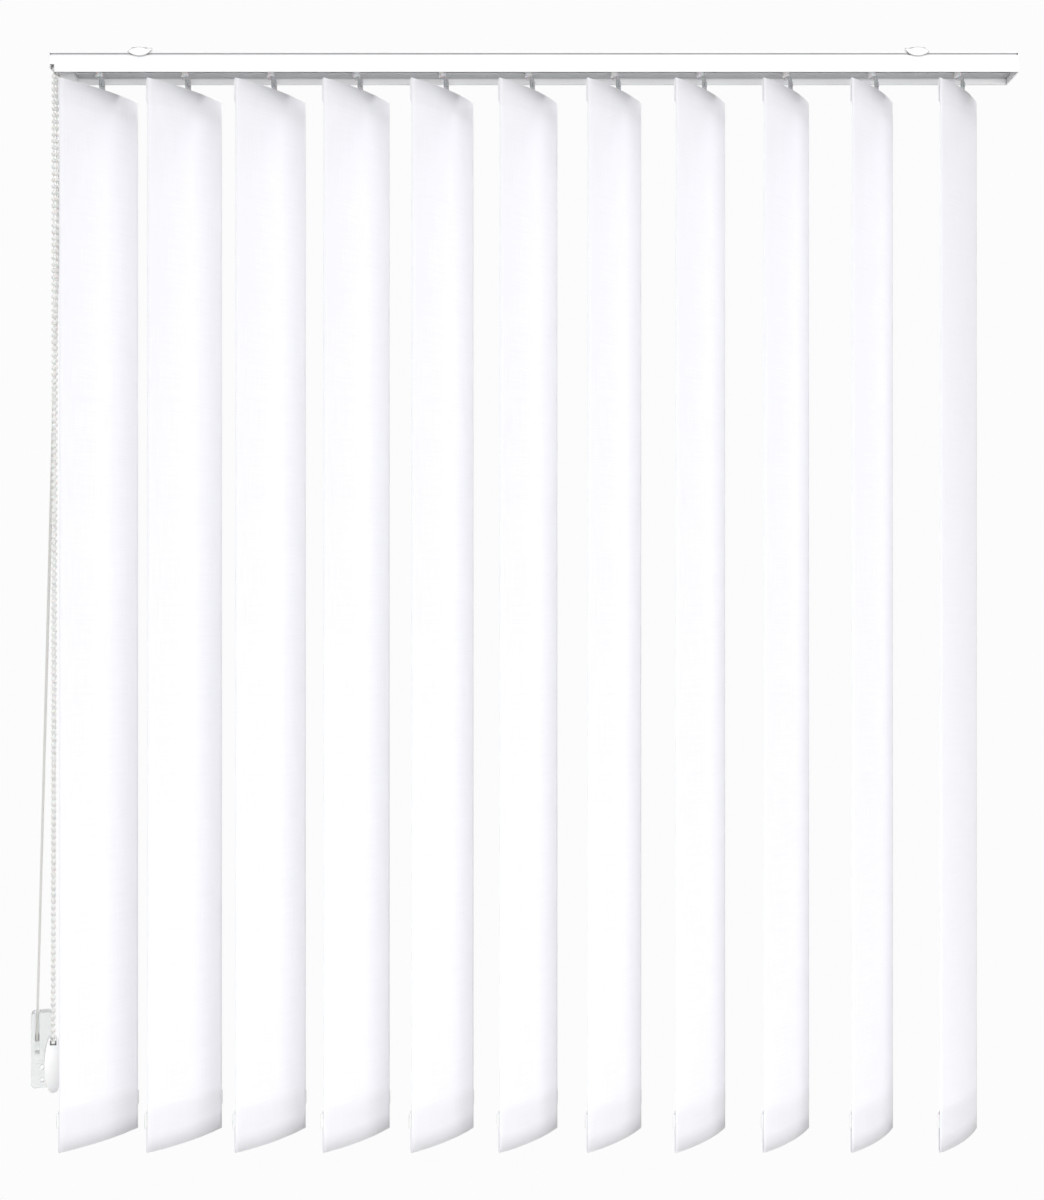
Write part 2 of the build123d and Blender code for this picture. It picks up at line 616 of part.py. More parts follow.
def cord_tensioner():
    """Clear moulding: a fork round the wheel, above a tongue with two holes for wall screws."""
    width, depth, height = TENSIONER_SIZE
    outline = Plane.XZ * Pos(TENSIONER_OFFSET, 0) * RectangleRounded(width, height, width * 0.2)
    body = extrude(outline, depth / 2, both=True)
    fork_bottom = height / 2 - TENSIONER_FORK
    body -= block((-width, -depth, -height), (2 * width, depth / 2 - TONGUE_THICKNESS, fork_bottom))
    slot_half = TENSIONER_SLOT / 2
    slot_bottom = fork_bottom + TENSIONER_BRIDGE
    body -= block((-slot_half, -depth, slot_bottom), (slot_half, depth / 2 - TENSIONER_BACK, height))
    wheel_z = height / 2 - TENSIONER_WHEEL_DROP
    body += bar((-slot_half, 0, wheel_z), (slot_half, 0, wheel_z), RETURN_AXLE)
    for drop in WALL_SCREW_DROPS:
        z = height / 2 - drop
        body -= bar((TENSIONER_OFFSET, -depth, z), (TENSIONER_OFFSET, depth, z), WALL_SCREW_RADIUS)
    return twisted(body, (TENSIONER_X, return_y, TENSIONER_TOP_Z - height / 2))


def tensioner_wheel():
    """Grooved wheel that the lower bend of the cord runs round."""
    core = return_turn - cord_radius - RUNNING
    rim = return_turn + RETURN_RIM
    bore = RETURN_AXLE + RUNNING / 2
    wheel = grooved_wheel((0, 0, 0), (1, 0, 0), core, rim, TENSIONER_SLOT - 2 * LOOSE, bore)
    return twisted(wheel, (TENSIONER_X, return_y, tensioner_wheel_z))


os.makedirs("parts", exist_ok=True)
write("headrail", headrail())
write("control_end_cap", control_end_cap())
write("idle_end_cap", idle_end_cap())
write("mounting_clips", mounting_clip(-CLIP_X, 1), mounting_clip(CLIP_X, -1))
write("tilt_rod", tilt_rod())
write("chain_sprocket", chain_sprocket())
write("cord_pulley_front", cord_pulley(cord_front_y, CORD_FRONT_X))
write("cord_pulley_back", cord_pulley(cord_back_y, CORD_BACK_X))
write("return_pulley", return_pulley())
write("rail_cord", rail_cord())
write("hanging_cord", hanging_cord())
write("bead_chain", bead_chain())
write("chain_weight", chain_weight())
write("chain_weight_wheel", chain_weight_wheel())
write("cord_tensioner", cord_tensioner())
write("tensioner_wheel", tensioner_wheel())

housing = carrier_housing()
worm_sleeve = worm()
turned = Rot(0, 0, SLAT_ANGLE)
turning_pieces = {
    "stem": [turned * stem(), turned * hanger()],
    "slat": [turned * slat()],
    "weight": [turned * weight()],
}
for index in range(SLAT_COUNT):
    place = Pos(FIRST_PIVOT_X + index * SLAT_PITCH, 0, 0)
    number = f"{index + 1:02d}"
    carrier = [housing, worm_sleeve]
    if index < SLAT_COUNT - 1:
        carrier.append(spacer_strip(index % STRIP_LEVELS))
    write(f"carrier_{number}", *[place * piece for piece in carrier])
    for name, pieces in turning_pieces.items():
        write(f"{name}_{number}", *[place * piece for piece in pieces])
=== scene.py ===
"""Looks of a vertical blind: cloth slats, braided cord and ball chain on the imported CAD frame, in metres."""

import math

import bmesh
import bpy
from mathutils import Matrix, Vector


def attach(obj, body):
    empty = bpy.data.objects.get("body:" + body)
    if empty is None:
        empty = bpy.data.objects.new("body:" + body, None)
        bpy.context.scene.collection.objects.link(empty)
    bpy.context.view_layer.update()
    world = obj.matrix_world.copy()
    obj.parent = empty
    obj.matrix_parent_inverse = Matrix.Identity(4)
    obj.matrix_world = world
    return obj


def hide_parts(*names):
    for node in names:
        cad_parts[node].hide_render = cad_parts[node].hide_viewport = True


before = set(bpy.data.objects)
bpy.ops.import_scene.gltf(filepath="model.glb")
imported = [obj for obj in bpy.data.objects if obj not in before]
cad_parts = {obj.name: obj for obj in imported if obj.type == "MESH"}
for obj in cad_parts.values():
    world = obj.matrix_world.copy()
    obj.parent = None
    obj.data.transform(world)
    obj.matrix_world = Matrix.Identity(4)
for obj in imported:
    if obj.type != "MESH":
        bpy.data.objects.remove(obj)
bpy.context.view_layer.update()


# Camera. It stands level with the middle of the slats, square to the rail, and close enough that
# the slats' perspective shows. The rail and the cloth fill the frame.
camera = bpy.data.objects.new("camera", bpy.data.cameras.new("camera"))
bpy.context.collection.objects.link(camera)
camera.location = (-0.006, -1.45, -0.525)
camera.rotation_euler = (math.radians(90), 0, 0)
camera.data.lens = 46.7
camera.data.sensor_width = 36
camera.data.shift_y = 0.015
bpy.context.scene.camera = camera
bpy.context.scene.view_settings.view_transform = "Standard"


# Backdrop. A pale sweep that curves from floor to wall stands in for the bright window behind the
# blind, so that the white slats are seen against white.
FLOOR_Z = -1.6
WALL_Y = 2.2
SWEEP_RADIUS = 0.9
SWEEP_STEPS = 24
SWEEP_FRONT_Y = -4.0
SWEEP_TOP_Z = 3.0
SWEEP_HALF_WIDTH = 5.0
ROLLER_STIPPLE = 160.0  # noise scale, for a stipple of about 6 mm
DARKER_BELOW_Z = -1.1


def sweep_mesh():
    """The sweep's profile from the front of the floor to the top of the wall, pulled out sideways."""
    profile = [(SWEEP_FRONT_Y, FLOOR_Z)]
    for step in range(SWEEP_STEPS + 1):
        turn = math.pi / 2 * step / SWEEP_STEPS
        y = WALL_Y - SWEEP_RADIUS + SWEEP_RADIUS * math.sin(turn)
        z = FLOOR_Z + SWEEP_RADIUS - SWEEP_RADIUS * math.cos(turn)
        profile.append((y, z))
    profile.append((WALL_Y, SWEEP_TOP_Z))
    points = [(x, y, z) for x in (-SWEEP_HALF_WIDTH, SWEEP_HALF_WIDTH) for y, z in profile]
    count = len(profile)
    faces = [(i, i + 1, count + i + 1, count + i) for i in range(count - 1)]
    mesh = bpy.data.meshes.new("sweep")
    mesh.from_pydata(points, [], faces)
    for face in mesh.polygons:
        face.use_smooth = True
    return mesh


# Colours are written as they look on screen, and a node is added with its settings and its links
# in one call: a setting is a number or colour, and a link is another node's output.
def colour(code):
    """A screen colour such as 'f2f4f6' as linear light."""
    parts = [int(code[i : i + 2], 16) / 255 for i in (0, 2, 4)]
    linear = [c / 12.92 if c <= 0.04045 else ((c + 0.055) / 1.055) ** 2.4 for c in parts]
    return (*linear, 1.0)


def node(tree, kind, traits=None, **inputs):
    """Add a node: traits are its own settings, and inputs are values or outputs for its sockets."""
    made = tree.nodes.new("ShaderNode" + kind)
    for name, value in (traits or {}).items():
        setattr(made, name, value)
    for name, value in inputs.items():
        socket = made.inputs[int(name[1:])] if name[0] == "_" else made.inputs[name.replace("_", " ")]
        if isinstance(value, bpy.types.NodeSocket):
            tree.links.new(value, socket)
        else:
            socket.default_value = value
    return made


def new_material(name):
    """An empty material, its node tree, and the output that its shader goes to."""
    material = bpy.data.materials.new(name)
    material.use_nodes = True
    material.node_tree.nodes.clear()
    output = node(material.node_tree, "OutputMaterial")
    return material, material.node_tree, output


def painted_wall():
    """Matt paint, evenly bright to the camera and through the clear piece, and darker near the floor
    in the light that it gives back."""
    material, tree, output = new_material("matt_white_wall_paint")
    place = node(tree, "TexCoord")
    roller = node(tree, "TexNoise", Vector=place.outputs["Object"], Scale=ROLLER_STIPPLE, Detail=3.0)
    bump = node(tree, "Bump", Strength=0.04, Distance=0.001, Height=roller.outputs["Fac"])
    height = node(tree, "SeparateXYZ", Vector=place.outputs["Object"])
    wall = node(
        tree,
        "MapRange",
        Value=height.outputs["Z"],
        From_Min=FLOOR_Z,
        From_Max=DARKER_BELOW_Z,
        To_Min=0.35,
        To_Max=0.85,
    )
    grey = node(tree, "CombineColor", Red=wall.outputs[0], Green=wall.outputs[0], Blue=wall.outputs[0])
    paint = node(
        tree,
        "BsdfPrincipled",
        Base_Color=grey.outputs[0],
        Roughness=0.9,
        Normal=bump.outputs["Normal"],
    )
    glare = node(tree, "Emission", Color=colour("fcfcfc"), Strength=1.0)
    ray = node(tree, "LightPath")
    direct = node(
        tree,
        "Math",
        {"operation": "MAXIMUM"},
        _0=ray.outputs["Is Camera Ray"],
        _1=ray.outputs["Is Transmission Ray"],
    )
    seen = node(tree, "MixShader", _0=direct.outputs[0], _1=paint.outputs[0], _2=glare.outputs[0])
    tree.links.new(seen.outputs[0], output.inputs["Surface"])
    return material


sweep = bpy.data.objects.new("sweep", sweep_mesh())
bpy.context.collection.objects.link(sweep)
sweep.data.materials.append(painted_wall())


# Light. Bright and soft, mostly from the front right, the way the slats' visible faces are turned,
# so that each slat is lightest along its near edge and falls off towards its far one.
def soft_light(name, place, target, power, width, height):
    """A rectangular soft box aimed at a point."""
    lamp = bpy.data.lights.new(name, "AREA")
    lamp.shape = "RECTANGLE"
    lamp.size = width
    lamp.size_y = height
    lamp.energy = power
    holder = bpy.data.objects.new(name, lamp)
    bpy.context.collection.objects.link(holder)
    holder.location = place
    holder.rotation_euler = (Vector(target) - Vector(place)).to_track_quat("-Z", "Y").to_euler()


soft_light("key_light", (0.7, -2.4, -0.55), (0, 0, -0.5), 49, 3.2, 1.3)
soft_light("fill_light", (-2.2, -1.8, 0.5), (0, 0, -0.5), 12, 2.0, 2.0)
soft_light("low_light", (0, -0.4, -1.2), (0, -0.3, 0), 0.7, 1.2, 0.6)
soft_light("wall_light", (0, 0.9, 1.6), (0, 2.2, -0.6), 80, 3.5, 1.0)

# The surround gives more light from above than from below.
world = bpy.data.worlds.new("studio")
bpy.context.scene.world = world
world.use_nodes = True
surround = world.node_tree.nodes["Background"]
surround.inputs["Color"].default_value = colour("f9f9fb")
sky = node(world.node_tree, "TexCoord")
sky_height = node(world.node_tree, "SeparateXYZ", Vector=sky.outputs["Generated"])
sky_level = node(
    world.node_tree,
    "MapRange",
    Value=sky_height.outputs["Z"],
    From_Min=-0.2,
    From_Max=0.35,
    To_Min=0.06,
    To_Max=0.9,
)
world.node_tree.links.new(sky_level.outputs[0], surround.inputs["Strength"])


# Cords. The part's two hanging loops repeat the routes of the CAD tubes: down from the rail, half
# round a wheel and up again, with given points on the long straight runs.
TWIST = math.radians(18)
TOWARD_ROOM = Vector((math.sin(TWIST), -math.cos(TWIST), 0))
UP = Vector((0, 0, 1))


def round_wheel(centre, outward, onward, radius):
    """Three points that lead a cord half round a wheel."""
    reach = radius / math.cos(math.pi / 6)
    turns = [math.radians(degrees) for degrees in (30, 90, 150)]
    return [centre + outward * reach * math.cos(t) + onward * reach * math.sin(t) for t in turns]


def cord_spline(name, points, thickness=0.0):
    """A smooth open spline through the route, round in section if it has a thickness."""
    line = bpy.data.curves.new(name, "CURVE")
    line.dimensions = "3D"
    line.resolution_u = 48
    spline = line.splines.new("NURBS")
    spline.points.add(len(points) - 1)
    for control, point in zip(spline.points, points):
        control.co = (*point, 1.0)
    spline.order_u = 3
    spline.use_endpoint_u = True
    line.bevel_depth = thickness / 2
    line.bevel_resolution = 5
    line.use_fill_caps = thickness > 0
    made = bpy.data.objects.new(name, line)
    bpy.context.collection.objects.link(made)
    return made


def line_points(curve):
    """The points of a curve that has no thickness, in order."""
    mesh = bpy.data.meshes.new_from_object(curve)
    points = [vertex.co.copy() for vertex in mesh.vertices]
    bpy.data.meshes.remove(mesh)
    return points


# Traverse cord: 2.2 mm braided white polyester. It leaves the rail over two pulleys, goes round the
# wheel of the clear tensioner and comes back, and it is pulled straight.
CORD_DIAMETER = 0.0022
CORD_FRONT = Vector((-0.4376, 0.0082, -0.024))
CORD_BACK = Vector((-0.4384, 0.0148, -0.024))
CORD_WHEEL = Vector((-0.4612, 0.0115, -0.9185))
CORD_TURN = 0.0033
CORD_BELOW_RAIL = 0.020
CORD_ABOVE_WHEEL = 0.014
STRANDS = 260.0  # wave scale, for slanting bands 2.4 mm apart along the cord
FIBRES = 3000.0  # noise scale, for fibres of about 0.3 mm


def braided_polyester():
    """White braid: slanting bands for the strands, with fine fibres over them."""
    material, tree, output = new_material("braided_white_polyester")
    place = node(tree, "TexCoord")
    strands = node(
        tree,
        "TexWave",
        {"bands_direction": "DIAGONAL"},
        Vector=place.outputs["Object"],
        Scale=STRANDS,
        Distortion=0.6,
    )
    fibres = node(tree, "TexNoise", Vector=place.outputs["Object"], Scale=FIBRES, Detail=3.0)
    tint = node(
        tree,
        "Mix",
        {"data_type": "RGBA"},
        _0=strands.outputs["Fac"],
        _6=colour("b9b8b4"),
        _7=colour("e6e5e0"),
    )
    relief = node(tree, "Math", {"operation": "ADD"}, _0=strands.outputs["Fac"], _1=fibres.outputs["Fac"])
    bump = node(tree, "Bump", Strength=0.5, Distance=0.0003, Height=relief.outputs[0])
    thread = node(
        tree,
        "BsdfPrincipled",
        Base_Color=tint.outputs[2],
        Roughness=0.75,
        Sheen_Weight=0.3,
        Normal=bump.outputs["Normal"],
    )
    tree.links.new(thread.outputs[0], output.inputs["Surface"])
    return material


braid = braided_polyester()
cord_route = [
    CORD_FRONT,
    CORD_FRONT - UP * CORD_BELOW_RAIL,
    CORD_WHEEL + TOWARD_ROOM * CORD_TURN + UP * CORD_ABOVE_WHEEL,
    *round_wheel(CORD_WHEEL, TOWARD_ROOM, -UP, CORD_TURN),
    CORD_WHEEL - TOWARD_ROOM * CORD_TURN + UP * CORD_ABOVE_WHEEL,
    CORD_BACK - UP * CORD_BELOW_RAIL,
    CORD_BACK,
]
pull_cord = cord_spline("pull_cord", cord_route, CORD_DIAMETER)
pull_cord.data.materials.append(braid)
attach(pull_cord, "rail")
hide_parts("hanging_cord")


# Ball chain: white plastic balls of 4.4 mm, moulded 6 mm apart on a thin cord. It hangs over the
# sprocket in the end of the rail, and an oval weight with a wheel keeps it straight.
BALL_RADIUS = 0.0022
BALL_PITCH = 0.006
LINK_RADIUS = 0.0006
CHAIN_TOP = Vector((-0.4385, -0.0068, -0.0123))
CHAIN_WHEEL = Vector((-0.4407, -0.0068, -0.930))
CHAIN_TURN = 0.004775
CHAIN_BELOW_SPROCKET = 0.030
CHAIN_ABOVE_WHEEL = 0.026
CHAIN_END_GAP = 0.0001
BALL_SIDES = 12
BALL_ROWS = 8
LINK_SIDES = 6
BALL_CLOUD = 60.0  # noise scale, for patches of about 17 mm
BALL_GRAIN = 2500.0  # noise scale, for a grain of 0.4 mm, coarser than a real one so that it shows
TO_BACK = Vector((0, 1, 0))


def moulded_balls():
    """Slightly yellowed, glossy moulding with a fine mould texture."""
    material, tree, output = new_material("moulded_white_ball_chain")
    place = node(tree, "TexCoord")
    cloud = node(tree, "TexNoise", Vector=place.outputs["Object"], Scale=BALL_CLOUD, Detail=2.0)
    tint = node(
        tree,
        "Mix",
        {"data_type": "RGBA"},
        _0=cloud.outputs["Fac"],
        _6=colour("dcdcd8"),
        _7=colour("efefec"),
    )
    grain = node(tree, "TexNoise", Vector=place.outputs["Object"], Scale=BALL_GRAIN, Detail=2.0)
    bump = node(tree, "Bump", Strength=0.15, Distance=0.0001, Height=grain.outputs["Fac"])
    plastic = node(
        tree,
        "BsdfPrincipled",
        Base_Color=tint.outputs[2],
        Roughness=0.32,
        Normal=bump.outputs["Normal"],
        Subsurface_Weight=0.1,
        Subsurface_Scale=0.002,
    )
    tree.links.new(plastic.outputs[0], output.inputs["Surface"])
    return material


def spaced(points, pitch):
    """Places along a line, at an even pitch that fits a whole number of times."""
    lengths = [(b - a).length for a, b in zip(points, points[1:])]
    total = sum(lengths)
    count = round(total / pitch)
    places = []
    walked = 0.0
    part = 0
    for index in range(count):
        goal = total * index / count
        while walked + lengths[part] < goal:
            walked += lengths[part]
            part += 1
        places.append(points[part].lerp(points[part + 1], (goal - walked) / lengths[part]))
    return places


def ball_chain_mesh(points):
    """Balls at every place along the line, threaded on a thin cord."""
    shape = bmesh.new()
    for place in spaced(points, BALL_PITCH):
        bmesh.ops.create_uvsphere(
            shape,
            u_segments=BALL_SIDES,
            v_segments=BALL_ROWS,
            radius=BALL_RADIUS,
            matrix=Matrix.Translation(place),
        )
    rings = []
    for index, point in enumerate(points):
        ahead = points[min(index + 1, len(points) - 1)]
        behind = points[max(index - 1, 0)]
        along = (ahead - behind).normalized()
        across = along.cross(Vector((1, 0, 0))).normalized()
        other = along.cross(across)
        ring = []
        for side in range(LINK_SIDES):
            turn = 2 * math.pi * side / LINK_SIDES
            offset = across * math.cos(turn) + other * math.sin(turn)
            ring.append(shape.verts.new(point + offset * LINK_RADIUS))
        rings.append(ring)
    for ring, following in zip(rings, rings[1:]):
        for side in range(LINK_SIDES):
            after = (side + 1) % LINK_SIDES
            shape.faces.new((ring[side], ring[after], following[after], following[side]))
    mesh = bpy.data.meshes.new("ball_chain")
    for face in shape.faces:
        face.smooth = True
    shape.to_mesh(mesh)
    shape.free()
    return mesh


chain_front = CHAIN_TOP - TO_BACK * CHAIN_TURN
chain_back = CHAIN_TOP + TO_BACK * CHAIN_TURN
chain_route = [
    chain_front,
    chain_front - UP * CHAIN_BELOW_SPROCKET,
    CHAIN_WHEEL + TOWARD_ROOM * CHAIN_TURN + UP * CHAIN_ABOVE_WHEEL,
    *round_wheel(CHAIN_WHEEL, TOWARD_ROOM, -UP, CHAIN_TURN),
    CHAIN_WHEEL - TOWARD_ROOM * CHAIN_TURN + UP * CHAIN_ABOVE_WHEEL,
    chain_back - UP * CHAIN_BELOW_SPROCKET,
    *round_wheel(CHAIN_TOP, TO_BACK, UP, CHAIN_TURN),
    chain_front + UP * CHAIN_END_GAP,
]
chain_line = cord_spline("chain_line", chain_route)
chain_points = line_points(chain_line)
bpy.data.objects.remove(chain_line)
ball_chain = bpy.data.objects.new("ball_chain", ball_chain_mesh(chain_points))
bpy.context.collection.objects.link(ball_chain)
ball_chain.data.materials.append(moulded_balls())
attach(ball_chain, "rail")
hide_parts("bead_chain")


# Head rail: an aluminium extrusion in satin white powder coat, with a fine orange-peel skin over
# faint die marks. Its grooves carry painted shade, and its downward faces are grey with painted shade.
PEEL = 900.0  # noise scale, for a peel of about 1 mm
DIE_MARKS = (2.0, 700.0, 700.0)  # noise scales along and across, for marks 500 mm long and 1.4 mm wide
COAT_CLOUD = 9.0  # noise scale, for patches of about 110 mm


def dress(name, material):
    """Give a CAD node's object one material."""
    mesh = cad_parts[name].data
    mesh.materials.clear()
    mesh.materials.append(material)


def painted_corner_shade(tree, tint, reach, depth):
    """Painted shade: a tint that darkens in grooves and where another piece stands close."""
    near = node(tree, "AmbientOcclusion", {"samples": 6}, Distance=reach)
    shade = node(
        tree,
        "MapRange",
        Value=near.outputs["AO"],
        From_Min=0.3,
        From_Max=0.9,
        To_Min=1 - depth,
    )
    return node(
        tree,
        "Mix",
        {"data_type": "RGBA", "blend_type": "MULTIPLY"},
        _0=1.0,
        _6=tint.outputs[2],
        _7=shade.outputs[0],
    )


def powder_coat():
    """White powder coat on an extrusion, softened at its edges, with painted shade in its grooves and grey
    painted shade where it faces down.
    """
    material, tree, output = new_material("white_powder_coated_extrusion")
    place = node(tree, "TexCoord")
    peel = node(tree, "TexNoise", Vector=place.outputs["Object"], Scale=PEEL, Detail=2.0)
    stretched = node(tree, "Mapping", Vector=place.outputs["Object"], Scale=DIE_MARKS)
    die_marks = node(tree, "TexNoise", Vector=stretched.outputs[0], Scale=1.0, Detail=2.0)
    height = node(
        tree,
        "Math",
        {"operation": "MULTIPLY_ADD"},
        _0=die_marks.outputs["Fac"],
        _1=0.4,
        _2=peel.outputs["Fac"],
    )
    rounded = node(tree, "Bevel", {"samples": 4}, Radius=0.0004)
    bump = node(
        tree,
        "Bump",
        Strength=0.12,
        Distance=0.0002,
        Height=height.outputs[0],
        Normal=rounded.outputs["Normal"],
    )
    cloud = node(tree, "TexNoise", Vector=place.outputs["Object"], Scale=COAT_CLOUD, Detail=2.0)
    tint = node(
        tree, "Mix", {"data_type": "RGBA"}, _0=cloud.outputs["Fac"], _6=colour("f1f2f3"), _7=colour("f8f8f8")
    )
    # Painted shade in the grooves.
    tint = painted_corner_shade(tree, tint, reach=0.002, depth=0.6)
    # Faces that point down are mixed towards grey: painted shade under the rail.
    surface = node(tree, "NewGeometry")
    facing = node(tree, "SeparateXYZ", Vector=surface.outputs["Normal"])
    painted_underside_shade = node(
        tree,
        "MapRange",
        Value=facing.outputs["Z"],
        From_Min=-0.9,
        From_Max=-0.5,
        To_Min=0.65,
        To_Max=0.0,
    )
    tint = node(
        tree,
        "Mix",
        {"data_type": "RGBA"},
        _0=painted_underside_shade.outputs[0],
        _6=tint.outputs[2],
        _7=colour("6e7072"),
    )
    coat = node(
        tree,
        "BsdfPrincipled",
        Base_Color=tint.outputs[2],
        Roughness=0.42,
        Normal=bump.outputs["Normal"],
        Coat_Weight=0.15,
        Coat_Roughness=0.25,
    )
    tree.links.new(coat.outputs[0], output.inputs["Surface"])
    return material


dress("headrail", powder_coat())


# Moulded fittings. End caps, clips, the oval chain weight and the slats' hem weights are white
# mouldings; the wheels and carriers are natural acetal; the stems and hangers are drawn grey as
# painted shade from the rail, with painted light on their collars. All carry painted shade in their
# grooves, and the clips are drawn with grey painted shade along their sharp edges.
SLAT_COUNT = 11
SLATS = range(1, SLAT_COUNT + 1)
COLLAR_BOTTOM_Z = -0.0222
MOULD_CLOUD = 35.0  # noise scale, for patches of about 29 mm
MOULD_GRAIN = 2200.0  # noise scale, for a grain of 0.45 mm, coarser than a real one so that it shows


def painted_edge_shade(tree, tint, reach, edge_shade_colour):
    """Painted shade: a tint that goes over to a darker colour beside sharp edges, by how much a wide bevel
    turns them.
    """
    wide = node(tree, "Bevel", {"samples": 6}, Radius=reach)
    flat = node(tree, "NewGeometry")
    along = node(
        tree,
        "VectorMath",
        {"operation": "DOT_PRODUCT"},
        _0=wide.outputs[0],
        _1=flat.outputs["Normal"],
    )
    edge = node(tree, "MapRange", Value=along.outputs["Value"], From_Min=0.97, From_Max=0.9)
    return node(
        tree, "Mix", {"data_type": "RGBA"}, _0=edge.outputs[0], _6=tint.outputs[2], _7=colour(edge_shade_colour)
    )


def moulding(name, dark, light, roughness, glow=0.0, edge_shade_colour=None):
    """Injection moulding: fine spark-eroded grain, soft edges and a slight unevenness of colour."""
    material, tree, output = new_material(name)
    place = node(tree, "TexCoord")
    cloud = node(tree, "TexNoise", Vector=place.outputs["Object"], Scale=MOULD_CLOUD, Detail=2.0)
    tint = node(
        tree,
        "Mix",
        {"data_type": "RGBA"},
        _0=cloud.outputs["Fac"],
        _6=colour(dark),
        _7=colour(light),
    )
    grain = node(tree, "TexNoise", Vector=place.outputs["Object"], Scale=MOULD_GRAIN, Detail=3.0)
    rounded = node(tree, "Bevel", {"samples": 4}, Radius=0.0003)
    bump = node(
        tree,
        "Bump",
        Strength=0.2,
        Distance=0.0001,
        Height=grain.outputs["Fac"],
        Normal=rounded.outputs["Normal"],
    )
    # Painted shade in grooves and beside close pieces, and along sharp edges where an edge colour is given.
    tint = painted_corner_shade(tree, tint, reach=0.003, depth=0.6)
    if edge_shade_colour:
        tint = painted_edge_shade(tree, tint, 0.0011, edge_shade_colour)
    wear = node(
        tree,
        "MapRange",
        Value=cloud.outputs["Fac"],
        To_Min=roughness - 0.05,
        To_Max=roughness + 0.07,
    )
    plastic = node(
        tree,
        "BsdfPrincipled",
        Base_Color=tint.outputs[2],
        Roughness=wear.outputs[0],
        Normal=bump.outputs["Normal"],
        Subsurface_Weight=glow,
        Subsurface_Scale=0.003,
    )
    tree.links.new(plastic.outputs[0], output.inputs["Surface"])
    return material


white_moulding = moulding("grained_white_abs_moulding", "ecedee", "f6f6f6", 0.42)
# The clips' grey edges are painted shade.
clip_moulding = moulding("bright_white_clip_moulding", "ecedee", "f6f6f6", 0.42, edge_shade_colour="8f8f8f")
weight_moulding = moulding("polished_white_weight_moulding", "e0e1e0", "efefee", 0.3, glow=0.1)
acetal = moulding("natural_acetal_moulding", "cfd0cf", "dedfde", 0.38, glow=0.1)
# The stems and hangers are drawn grey as painted shade from the rail over them.
shaded_stem_moulding = moulding("grey_stem_moulding_with_painted_shade", "a5a7aa", "b9bbbd", 0.25, glow=0.2)


def paint_light_above(material, height):
    """Painted light: draw a moulding paler above a height, such as a stem's collar lit above its shaded hook.
    """
    tree = material.node_tree
    plastic = tree.nodes["Principled BSDF"]
    tint = plastic.inputs["Base Color"].links[0].from_socket
    place = node(tree, "TexCoord")
    spot = node(tree, "SeparateXYZ", Vector=place.outputs["Object"])
    above = node(tree, "Math", {"operation": "GREATER_THAN"}, _0=spot.outputs["Z"], _1=height)
    both = node(tree, "Mix", {"data_type": "RGBA"}, _0=above.outputs[0], _6=tint, _7=colour("f4f4f4"))
    tree.links.new(both.outputs[2], plastic.inputs["Base Color"])


# Painted light on the stems' collars, above COLLAR_BOTTOM_Z, over their shaded hooks.
paint_light_above(shaded_stem_moulding, COLLAR_BOTTOM_Z)
for name in ("control_end_cap", "idle_end_cap"):
    dress(name, white_moulding)
dress("mounting_clips", clip_moulding)
dress("chain_weight", weight_moulding)
for name in ("chain_sprocket", "cord_pulley_front", "cord_pulley_back", "return_pulley", "tensioner_wheel"):
    dress(name, acetal)
dress("chain_weight_wheel", acetal)
for number in SLATS:
    dress(f"carrier_{number:02d}", acetal)
    dress(f"stem_{number:02d}", shaded_stem_moulding)
    dress(f"weight_{number:02d}", weight_moulding)
dress("rail_cord", braid)


# Tilt rod: drawn aluminium, bare, with fine lines along it from the die.
DRAWN_LINES = (6.0, 2500.0, 2500.0)  # noise scales along and across, for lines 0.4 mm wide


def drawn_aluminium():
    """Bare drawn aluminium, brushed along the rod."""
    material, tree, output = new_material("drawn_mill_aluminium")
    place = node(tree, "TexCoord")
    stretched = node(tree, "Mapping", Vector=place.outputs["Object"], Scale=DRAWN_LINES)
    lines = node(tree, "TexNoise", Vector=stretched.outputs[0], Scale=1.0, Detail=3.0)
    bump = node(tree, "Bump", Strength=0.3, Distance=0.0001, Height=lines.outputs["Fac"])
    shine = node(tree, "MapRange", Value=lines.outputs["Fac"], To_Min=0.22, To_Max=0.42)
    metal = node(
        tree,
        "BsdfPrincipled",
        Base_Color=colour("d6d8da"),
        Metallic=1.0,
        Roughness=shine.outputs[0],
        Normal=bump.outputs["Normal"],
    )
    tree.links.new(metal.outputs[0], output.inputs["Surface"])
    return material


dress("tilt_rod", drawn_aluminium())


# Tensioner: a clear moulding with a faint grey body and slightly hazy faces.
HAZE = 90.0  # noise scale, for patches of about 11 mm


def clear_moulding():
    """Clear styrene, more hazy in some places than in others."""
    material, tree, output = new_material("clear_styrene_moulding")
    place = node(tree, "TexCoord")
    haze = node(tree, "TexNoise", Vector=place.outputs["Object"], Scale=HAZE, Detail=2.0)
    shine = node(tree, "MapRange", Value=haze.outputs["Fac"], To_Min=0.06, To_Max=0.2)
    rounded = node(tree, "Bevel", {"samples": 4}, Radius=0.0005)
    clear = node(
        tree,
        "BsdfPrincipled",
        Base_Color=colour("f3f5f5"),
        Roughness=shine.outputs[0],
        Normal=rounded.outputs["Normal"],
        Transmission_Weight=0.85,
        IOR=1.5,
    )
    tree.links.new(clear.outputs[0], output.inputs["Surface"])
    return material


dress("cord_tensioner", clear_moulding())


